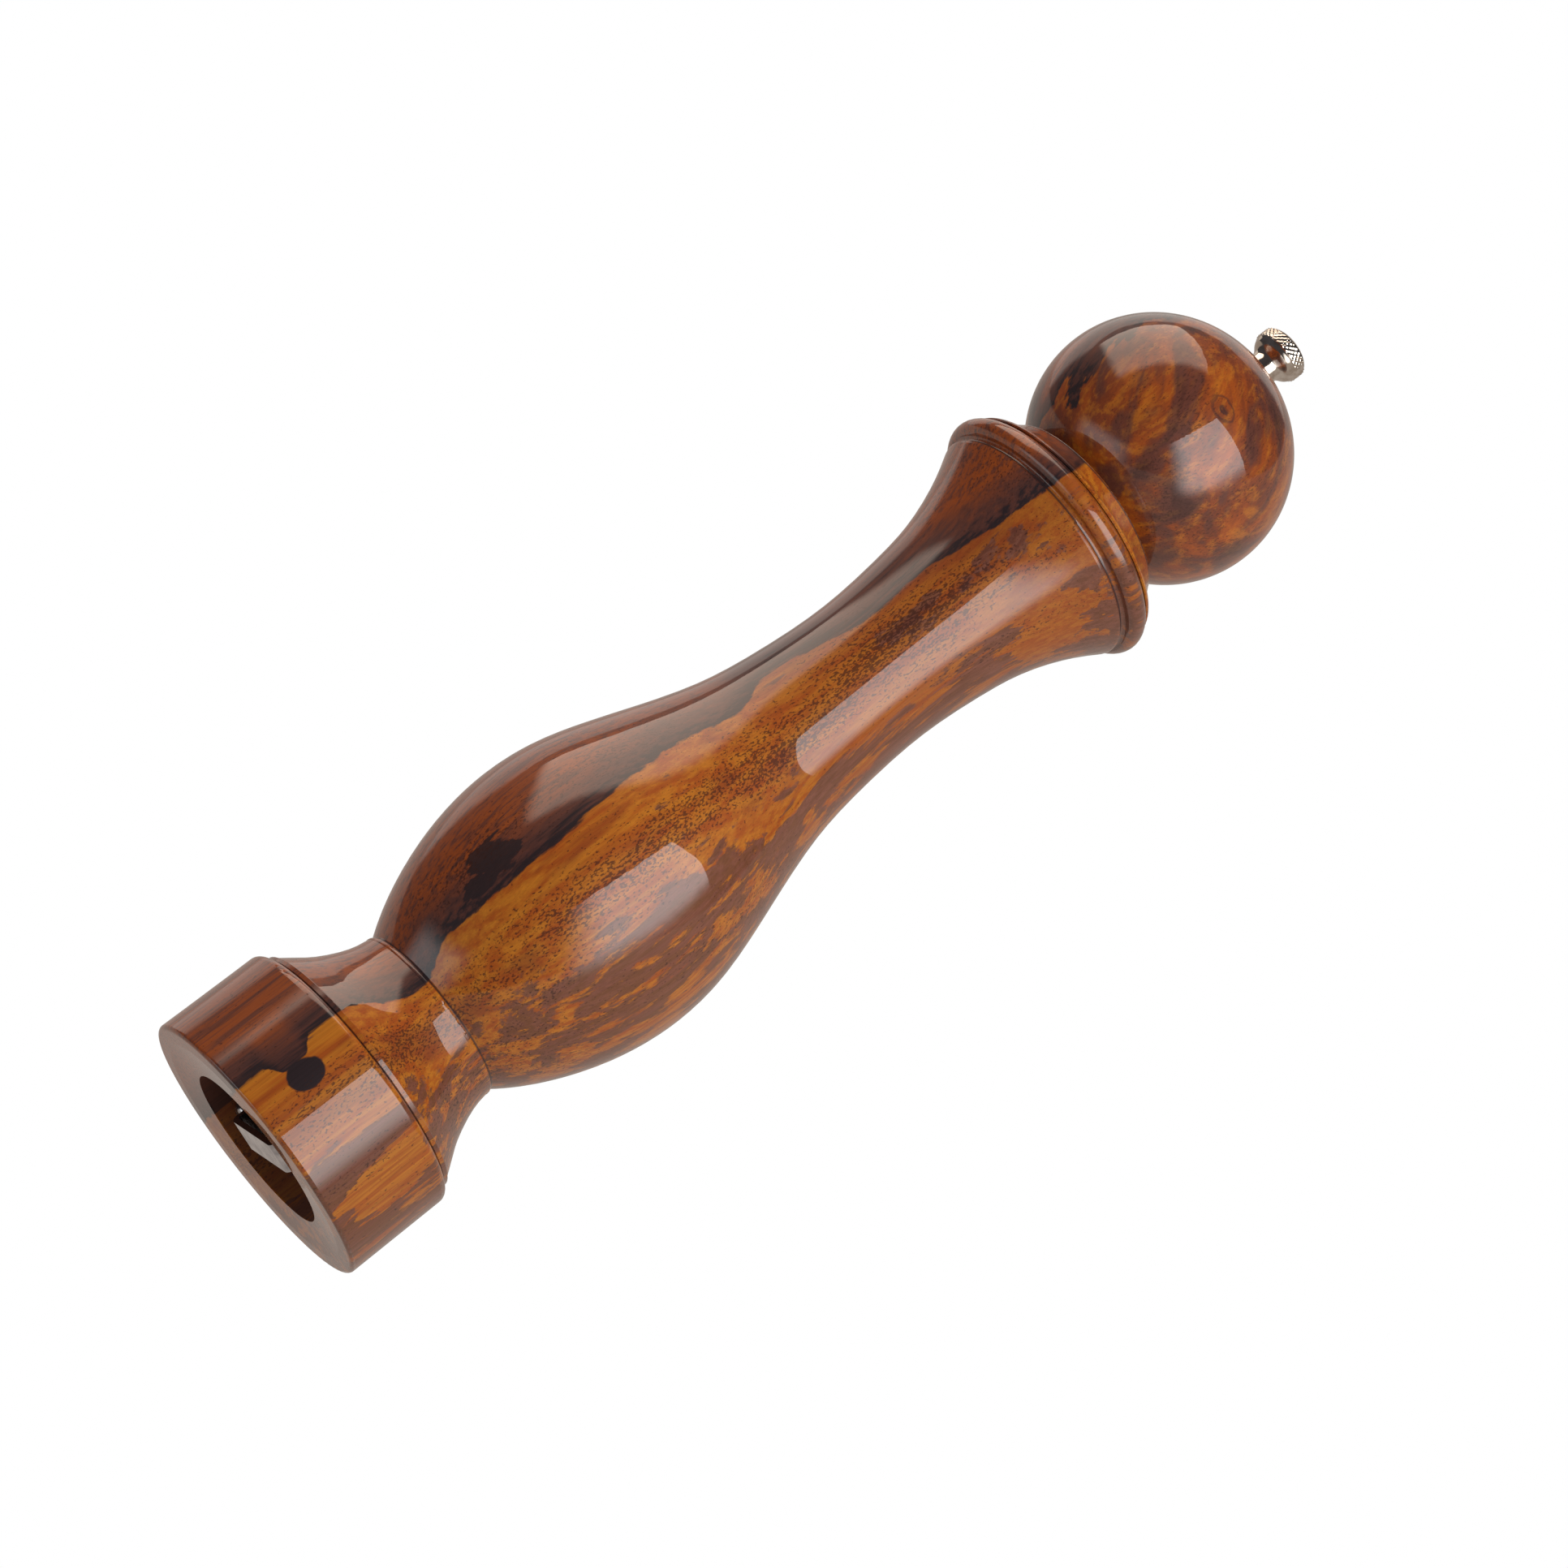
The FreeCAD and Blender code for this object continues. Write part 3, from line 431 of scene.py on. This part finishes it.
def head_wood():
    """Darker wood cut from the same stem, with streaks that swirl across the ball."""
    material, graph = new_material("head_wood")
    place = millimetres(graph)
    x, y, z = graph.split(place)
    drift = graph.stretch(place, 0.022, 0.022, 0.016)
    swirl = graph.vector(
        "SUBTRACT", graph.noise(drift, detail=1.0, output="Color"), (0.5, 0.5, 0.5)
    )
    turned = graph.vector("ADD", place, graph.stretch(swirl, *[SWIRL_REACH] * 3))
    lean = graph.add(graph.times(x, 0.9), graph.times(graph.less(z, BALL_MIDDLE), 0.42))
    across = graph.add(lean, graph.times(graph.split(swirl)[0], 30.0))
    along = graph.less(z, graph.times(x, 0.5))
    grain = graph.stretch(graph.join(across, y, along), 1.0, 1.0, 0.24)
    streak = graph.noise(grain, scale=0.14, detail=5.0, roughness=0.54, distortion=0.45)
    fine = graph.noise(graph.stretch(turned, 0.5, 0.5, 0.1), detail=5.0, roughness=0.6)
    elsewhere = graph.vector("ADD", turned, (0.0, 0.0, 37.0))
    cloud = graph.noise(elsewhere, scale=0.05, detail=3.0)
    wobble = graph.swing(grain, 14.0, scale=0.08, detail=5.0, roughness=0.6)

    # The dark sheet's edge, nearer the axis and straighter in the collar than in the ball.
    collar = graph.step(z, *COLLAR_TOP)
    edge = graph.step(collar, 0.0, 1.0, to_low=23.0, to_high=7.6)
    edge = graph.add(edge, graph.times(wobble, graph.less(1.1, collar)))
    depth = graph.less(graph.times(x, -1.0), edge)
    dark = graph.step(depth, -0.4, 0.6)

    base = graph.blend(graph.step(streak, 0.30, 0.54), AMBER, RUSSET)
    base = graph.blend(graph.times(graph.step(fine, 0.46, 0.66), 0.5), base, GOLD)
    base = graph.blend(collar, base, graph.blend(graph.step(fine, 0.40, 0.62), AMBER, GOLD))
    bands = graph.add(streak, graph.times(graph.less(cloud, 0.5), 0.6))
    amount = graph.step(collar, 0.0, 1.0, to_low=0.74, to_high=0.25)
    veil = graph.times(graph.step(bands, 0.48, 0.62), amount)
    core = graph.blend(graph.step(bands, 0.61, 0.71), CHOCOLATE, INK)
    tone = graph.blend(veil, base, core)
    tone = graph.blend(dark, tone, dark_wood(graph, depth, streak, fine))

    middle = [c * stretch for c, stretch in zip(EYE_CENTRE, EYE_SHAPE)]
    ripple = graph.distance(graph.stretch(place, *EYE_SHAPE), middle)
    ripple = graph.add(ripple, graph.swing(place, 2.6, scale=0.22, detail=3.0))
    rings = graph.step(graph.math("SINE", graph.times(ripple, 2.4)), -0.2, 0.9, 0.1, 0.75)
    tone = graph.blend(graph.times(graph.step(ripple, 6.5, 1.5), rings), tone, INK)

    tone = with_pores(graph, place, tone, graph.noise(grain, scale=0.07, detail=2.0), 0.6)
    # Painted shade: thin dark rings at the head's turned grooves.
    tone = painted_groove_shade(graph, tone, z, HEAD_GROOVES)
    lacquered(graph, tone, graph.step(z, SEAM / MM + 0.1, SEAM / MM - 0.1))
    return material


# ---------------------------------------------------------------- metal


def metal(name, colour, shade, roughness, grain, wear=0.15, reach=0.02 * MM):
    """A metal with clouded tone, fine marks along its working direction and duller worn patches."""
    material, graph = new_material(name)
    place = millimetres(graph)
    marks = graph.noise(graph.stretch(place, *grain), detail=6.0, roughness=0.7)
    patches = graph.noise(place, scale=0.35, detail=4.0)
    tone = graph.blend(graph.step(patches, 0.35, 0.68), colour, shade)
    tone = graph.blend(graph.times(graph.step(marks, 0.55, 0.75), wear), tone, shade)
    dull = graph.add(
        graph.step(marks, 0.3, 0.7, to_low=-0.3, to_high=0.3),
        graph.step(patches, 0.4, 0.65, to_low=0.8, to_high=1.25),
    )
    finish_surface(
        graph,
        tone,
        graph.times(dull, roughness),
        bump=marks,
        strength=0.3,
        reach=reach,
        Metallic=1.0,
    )
    return material


def dress(material, *names):
    """Gives these CAD nodes that material."""
    for name in names:
        slots = NODES[name].data.materials
        slots.clear()
        slots.append(material)


# ---------------------------------------------------------------- knob and spring

# The knob's profile as (radius, height above its foot), in millimetres. The rim comes between
# KNOB_FLARE and the dome.
KNOB_BORE = [(0.02, 9.1), (2.56, 8.4), (2.56, 0.3)]
KNOB_FOOT = [(2.8, 0.02), (3.9, 0.02), (4.1, 0.25)]
KNOB_FLARE = [(4.1, 2.8), (4.25, 3.7), (4.9, 4.65), (5.95, 5.75), (6.5, 6.8)]
FLARE_STEPS = 6
BAND_LOW = 7.25 * MM
BAND_HIGH = 9.9 * MM
RIM_BEVEL = (0.22 * MM, 0.15 * MM)
DOME_STEPS = 12
DOME_INSET = (0.35 * MM, 0.12 * MM)
DOME_FLATNESS = 1.2
CENTRE_HOLE = 0.02 * MM

KNURLS = 32
KNURL_ROWS = 2
KNURL_STEPS = 12
KNURL_DEPTH = 0.24 * MM

WIRE_RADIUS = 0.45 * MM
WIRE_SIDES = 14
SPRING_TURNS = 5.5
RINGS_PER_TURN = 48
# The wire lies closed for the first and last CLOSED_TURNS and opens over the next OPENING_TURNS.
CLOSED_PITCH = 0.93 * MM
CLOSED_TURNS = 0.75
OPENING_TURNS = 0.5


def smoothed(points, steps):
    """A curve through the points, each stretch cut into that many steps."""
    made = []
    for index in range(len(points) - 1):
        before, start = points[max(index - 1, 0)], points[index]
        end, after = points[index + 1], points[min(index + 2, len(points) - 1)]
        for step in range(steps):
            t = step / steps
            weights = (
                (-t + 2 * t**2 - t**3) / 2,
                (2 - 5 * t**2 + 3 * t**3) / 2,
                (t + 4 * t**2 - 3 * t**3) / 2,
                (t**3 - t**2) / 2,
            )
            corners = zip(before, start, end, after)
            made.append(tuple(sum(w * c for w, c in zip(weights, corner)) for corner in corners))
    return made + [points[-1]]


def ring_of(count, radius_at, lift=0.0):
    """Points round the Z axis at that height. radius_at gives the radius for a column."""
    points = []
    for column in range(count):
        turn = column / count * 2 * math.pi
        reach = radius_at(column)
        points.append((reach * math.cos(turn), reach * math.sin(turn), lift))
    return points


def skinned(name, rings, material):
    """A closed, smooth object through rings of points, with a flat face over each end."""
    count = len(rings[0])
    faces = []
    for row in range(len(rings) - 1):
        here, above = row * count, (row + 1) * count
        for column in range(count):
            after = (column + 1) % count
            faces.append((here + column, here + after, above + after, above + column))
    faces.append(tuple(reversed(range(count))))
    faces.append(tuple((len(rings) - 1) * count + column for column in range(count)))
    mesh = bpy.data.meshes.new(name)
    mesh.from_pydata([point for ring in rings for point in ring], [], faces)
    for face in mesh.polygons:
        face.use_smooth = len(face.vertices) == 4
    mesh.materials.append(material)
    return put_in_scene(name, mesh)


def knurled_reach(radius, column, row):
    """The rim's radius after two crossing sets of grooves are cut in it."""
    around, along = column / KNURL_STEPS, row / KNURL_STEPS
    ridge = abs((around + along) % 1.0 - 0.5) + abs((around - along) % 1.0 - 0.5)
    return radius - KNURL_DEPTH * (1.0 - ridge)


def knob():
    """The knob with a diamond knurl cut in its rim. Its profile lies inside the CAD node's."""
    low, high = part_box("knob_nut")
    foot, rim = low.z, high.x
    band_low, band_high = foot + BAND_LOW, foot + BAND_HIGH

    def lifted(points):
        return [(radius * MM, foot + height * MM) for radius, height in points]

    bevel = (rim - RIM_BEVEL[0], band_low - RIM_BEVEL[1])
    below = lifted(KNOB_BORE + KNOB_FOOT) + smoothed(lifted(KNOB_FLARE) + [bevel], FLARE_STEPS)
    dome_radius, dome_low = rim - DOME_INSET[0], band_high + DOME_INSET[1]
    above = []
    for step in range(DOME_STEPS + 1):
        turn = step / DOME_STEPS * math.pi / 2
        across = max(dome_radius * math.cos(turn), CENTRE_HOLE)
        above.append((across, dome_low + (high.z - dome_low) * math.sin(turn) ** DOME_FLATNESS))

    columns = KNURLS * KNURL_STEPS
    steps = KNURL_ROWS * KNURL_STEPS
    rings = [ring_of(columns, lambda _: radius, height) for radius, height in below]
    for row in range(steps + 1):
        height = band_low + (band_high - band_low) * row / steps
        rings.append(ring_of(columns, lambda column: knurled_reach(rim, column, row), height))
    rings += [ring_of(columns, lambda _: radius, height) for radius, height in above]
    piece = skinned("knurled_knob", rings, nickel)
    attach(piece, "knob")
    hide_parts("knob_nut")


def coil_spring():
    """The spring with closed end turns, fitted between rotor and thrust washer."""
    low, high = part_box("spring")
    radius = (high.x - low.x) / 2 - WIRE_RADIUS
    length = high.z - low.z - 2 * WIRE_RADIUS
    count = round(SPRING_TURNS * RINGS_PER_TURN)
    openness = []
    for index in range(count):
        turns = (index + 0.5) / RINGS_PER_TURN
        from_end = min(turns, SPRING_TURNS - turns)
        openness.append(min(1.0, max(0.0, (from_end - CLOSED_TURNS) / OPENING_TURNS)))
    spare = length - SPRING_TURNS * CLOSED_PITCH
    rises = [CLOSED_PITCH / RINGS_PER_TURN + spare * part / sum(openness) for part in openness]
    height = low.z + WIRE_RADIUS
    rings = []
    for index, rise in enumerate(rises + [0.0]):
        turn = index / RINGS_PER_TURN * 2 * math.pi
        ring = []
        for side in range(WIRE_SIDES):
            angle = side / WIRE_SIDES * 2 * math.pi
            reach = radius + WIRE_RADIUS * math.cos(angle)
            lift = WIRE_RADIUS * math.sin(angle)
            ring.append((reach * math.cos(turn), reach * math.sin(turn), height + lift))
        rings.append(ring)
        height += rise
    piece = skinned("coil_spring", rings, wire)
    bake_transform(piece)
    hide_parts("spring")


nickel = metal("nickel", rgb(228, 222, 212), rgb(196, 184, 170), 0.09, (0.6, 0.6, 6.0), wear=0.3)
polished = metal(
    "polished_steel", rgb(214, 214, 216), rgb(176, 176, 180), 0.16, (0.25, 5.0, 5.0), wear=0.4
)
zinc = metal("zinc", rgb(204, 206, 210), rgb(160, 160, 158), 0.24, (3.0, 3.0, 3.0))
aluminium = metal(
    "aluminium", rgb(206, 207, 209), rgb(172, 173, 176), 0.3, (4.0, 4.0, 0.12), wear=0.5
)
iron = metal(
    "sintered_iron", rgb(104, 102, 102), rgb(66, 63, 62), 0.42, (6.0, 6.0, 6.0), reach=0.06 * MM
)
wire = metal("spring_wire", rgb(170, 170, 172), rgb(120, 118, 118), 0.22, (3.0, 3.0, 1.0))
knob()
coil_spring()
dress(body_wood(), "mill_body")
dress(head_wood(), "mill_head")
dress(nickel, "knob_washer")
dress(polished, "retaining_bar")
dress(zinc, "bar_screw_front", "bar_screw_rear", "plate_screw_left", "plate_screw_right")
dress(zinc, "drive_plate", "rotor_washer", "thrust_washer")
dress(aluminium, "drive_shaft")
dress(iron, "stator", "rotor")


# ---------------------------------------------------------------- studio

# The studio's own directions as the leaning mill sees them.
STUDIO_UP = Vector((-0.588, -0.631, 0.508)).normalized()
STUDIO_RIGHT = Vector((0.724, -0.130, 0.677)).normalized()
STUDIO_FRONT = STUDIO_RIGHT.cross(STUDIO_UP)
BALL_CENTRE = Vector((0, 0, (BALL_TOP + SEAM) / 2))

WHITE = (1.0, 1.0, 1.0)
WARM = (1.0, 0.8, 0.66)
PAGE = (1.0, 1.0, 1.0, 1.0)
BACKDROP = (0.75, 0.67, 0.61, 1.0)
TABLE = (0.42, 0.36, 0.32, 1.0)
DARK_ROOM = (0.06, 0.055, 0.06, 1.0)

# A panel's power, for a radiance of 1 and an area of 1.
PANEL_POWER = 4.0

FLOOR_HALF = 2.0
FLOOR_LEVEL = -0.4 * MM
SHADOW_REACH = 0.12

CAMERA_AIM = Vector((8.02, 0.0, 148.52)) * MM
CAMERA_DISTANCE = 1037.7 * MM
CAMERA_AZIMUTH = math.radians(0.05)
CAMERA_ELEVATION = math.radians(-17.246)
CAMERA_ROLL = math.radians(-52.04)
SENSOR_WIDTH = 36.0
LENS = 103.6


def in_studio(right, front, up):
    """A place or direction given in the studio's own directions, in metres."""
    return STUDIO_RIGHT * right + STUDIO_FRONT * front + STUDIO_UP * up


def facing(position, target, across):
    """A matrix at a position whose -Z axis looks at the target, with its X axis near across."""
    back = (position - target).normalized()
    up = back.cross(across).normalized()
    turned = Matrix((up.cross(back), up, back)).transposed().to_4x4()
    turned.translation = position
    return turned


def softbox(name, place, target, size, radiance, haze, across=STUDIO_RIGHT, colour=WHITE):
    """A lamp that shows as a bright panel in the lacquer.

    place and target count from the ball's centre. haze is the share of the panel over which its
    left, right, lower and upper edges fade.
    """
    width, height = size
    light = bpy.data.lights.new(name, "AREA")
    light.shape = "RECTANGLE"
    light.size = width
    light.size_y = height
    light.color = colour
    light.energy = radiance * PANEL_POWER * width * height
    light.use_nodes = True
    graph = Graph(light.node_tree)
    sideways, up, _ = graph.split(graph.node("ShaderNodeNewGeometry").outputs["Parametric"])
    left, right, lower, upper = haze
    edges = (
        (sideways, 0.0, left),
        (sideways, 1.0, 1.0 - right),
        (up, 0.0, lower),
        (up, 1.0, 1.0 - upper),
    )
    fades = [graph.step(value, start, end) for value, start, end in edges if start != end]
    emission = graph.node("ShaderNodeEmission", ("Strength", reduce(graph.times, fades)))
    graph.close("ShaderNodeOutputLight", emission)
    box = put_in_scene(name, light)
    box.matrix_world = facing(BALL_CENTRE + place, BALL_CENTRE + target, across)
    box.visible_camera = False


def studio_lights():
    """A key lamp at the front right, a warm panel overhead and a hazy fill from the left."""
    softbox(
        "key",
        in_studio(0.257, 0.51, 0.155),
        in_studio(-0.128, 0.049, 0.155),
        size=(0.75, 0.61),
        radiance=3.1,
        haze=(0.34, 0.0, 0.24, 0.0),
        across=STUDIO_RIGHT + STUDIO_UP * 0.26,
    )
    ceiling = in_studio(-0.37, -0.87, 1.0)
    softbox(
        "top",
        ceiling,
        ceiling - STUDIO_UP,
        size=(1.42, 1.7),
        radiance=1.9,
        haze=(0.15, 0.0, 0.1, 0.0),
        across=STUDIO_RIGHT * 0.993 - STUDIO_FRONT * 0.122,
        colour=WARM,
    )
    softbox(
        "left",
        in_studio(-1.2, 0.65, 0.08),
        in_studio(0, 0, 0.08),
        size=(1.6, 0.66),
        radiance=1.1,
        haze=(0.35, 0.35, 0.35, 0.35),
    )


def world():
    """A dim room with a pale table and backdrop in the lacquer, and white behind the mill."""
    made = bpy.data.worlds.new("studio")
    bpy.context.scene.world = made
    made.use_nodes = True
    graph = Graph(made.node_tree)
    direction = graph.node("ShaderNodeTexCoord").outputs["Generated"]
    up = graph.dot(direction, tuple(STUDIO_UP))
    front = graph.dot(direction, tuple(STUDIO_FRONT))
    table = graph.step(up, -0.05, -0.09)
    backdrop = graph.times(graph.step(front, -0.72, -0.80), graph.step(up, 0.39, 0.36))
    pale = graph.blend(table, BACKDROP, TABLE)
    colour = graph.blend(graph.most(table, backdrop), DARK_ROOM, pale)
    seen = graph.node("ShaderNodeLightPath").outputs["Is Camera Ray"]
    colour = graph.blend(seen, colour, PAGE)
    background = graph.node("ShaderNodeBackground", ("Color", colour), ("Strength", 1.0))
    graph.close("ShaderNodeOutputWorld", background)


def floor():
    """A pale floor that glows on its own, with a painted soft shadow where the mill stands.

    It shows only from above, because the camera looks up at the foot.
    """
    corners = [(-1, -1), (1, -1), (1, 1), (-1, 1)]
    mesh = bpy.data.meshes.new("floor")
    mesh.from_pydata(
        [(x * FLOOR_HALF, y * FLOOR_HALF, FLOOR_LEVEL) for x, y in corners], [], [(0, 1, 2, 3)]
    )
    plane = put_in_scene("floor", mesh)
    material, graph = new_material("floor")
    far = graph.length(graph.node("ShaderNodeTexCoord").outputs["Object"])
    # Painted light: the glow rises from 0.84 near the mill to 1 far off.
    pale = graph.step(far, 0.1, 0.9, to_low=0.84)
    # Painted shadow: ambient occlusion darkens the glow where the mill stands.
    hidden = graph.node("ShaderNodeAmbientOcclusion", ("Distance", SHADOW_REACH), samples=16)
    lit = graph.times(pale, graph.step(hidden.outputs["AO"], 0.0, 0.9, to_low=0.3))
    glow = graph.node("ShaderNodeEmission", ("Color", graph.join(lit, lit, lit)))
    clear = graph.node("ShaderNodeBsdfTransparent")
    below = graph.node("ShaderNodeNewGeometry").outputs["Backfacing"]
    mixed = graph.node(
        "ShaderNodeMixShader", (0, below), (1, glow.outputs[0]), (2, clear.outputs[0])
    )
    graph.close("ShaderNodeOutputMaterial", mixed)
    mesh.materials.append(material)
    material.cycles.emission_sampling = "NONE"
    plane.visible_diffuse = False
    plane.visible_glossy = False
    plane.visible_transmission = False
    plane.visible_shadow = False


def camera():
    """Looks up at the leaning mill from beyond its foot, rolled to lay it across the picture."""
    data = bpy.data.cameras.new("camera")
    data.sensor_width = SENSOR_WIDTH
    data.lens = LENS
    seen_by = put_in_scene("camera", data)
    level = math.cos(CAMERA_ELEVATION)
    back = Vector(
        (
            -math.sin(CAMERA_AZIMUTH) * level,
            -math.cos(CAMERA_AZIMUTH) * level,
            math.sin(CAMERA_ELEVATION),
        )
    )
    side = Vector((0, 0, 1)).cross(back).normalized()
    upright = Matrix((side, back.cross(side), back)).transposed()
    turned = (upright @ Matrix.Rotation(-CAMERA_ROLL, 3, "Z")).to_4x4()
    turned.translation = CAMERA_AIM + back * CAMERA_DISTANCE
    seen_by.matrix_world = turned
    bpy.context.scene.camera = seen_by


studio_lights()
world()
floor()
camera()
bpy.context.scene.view_settings.view_transform = "Standard"
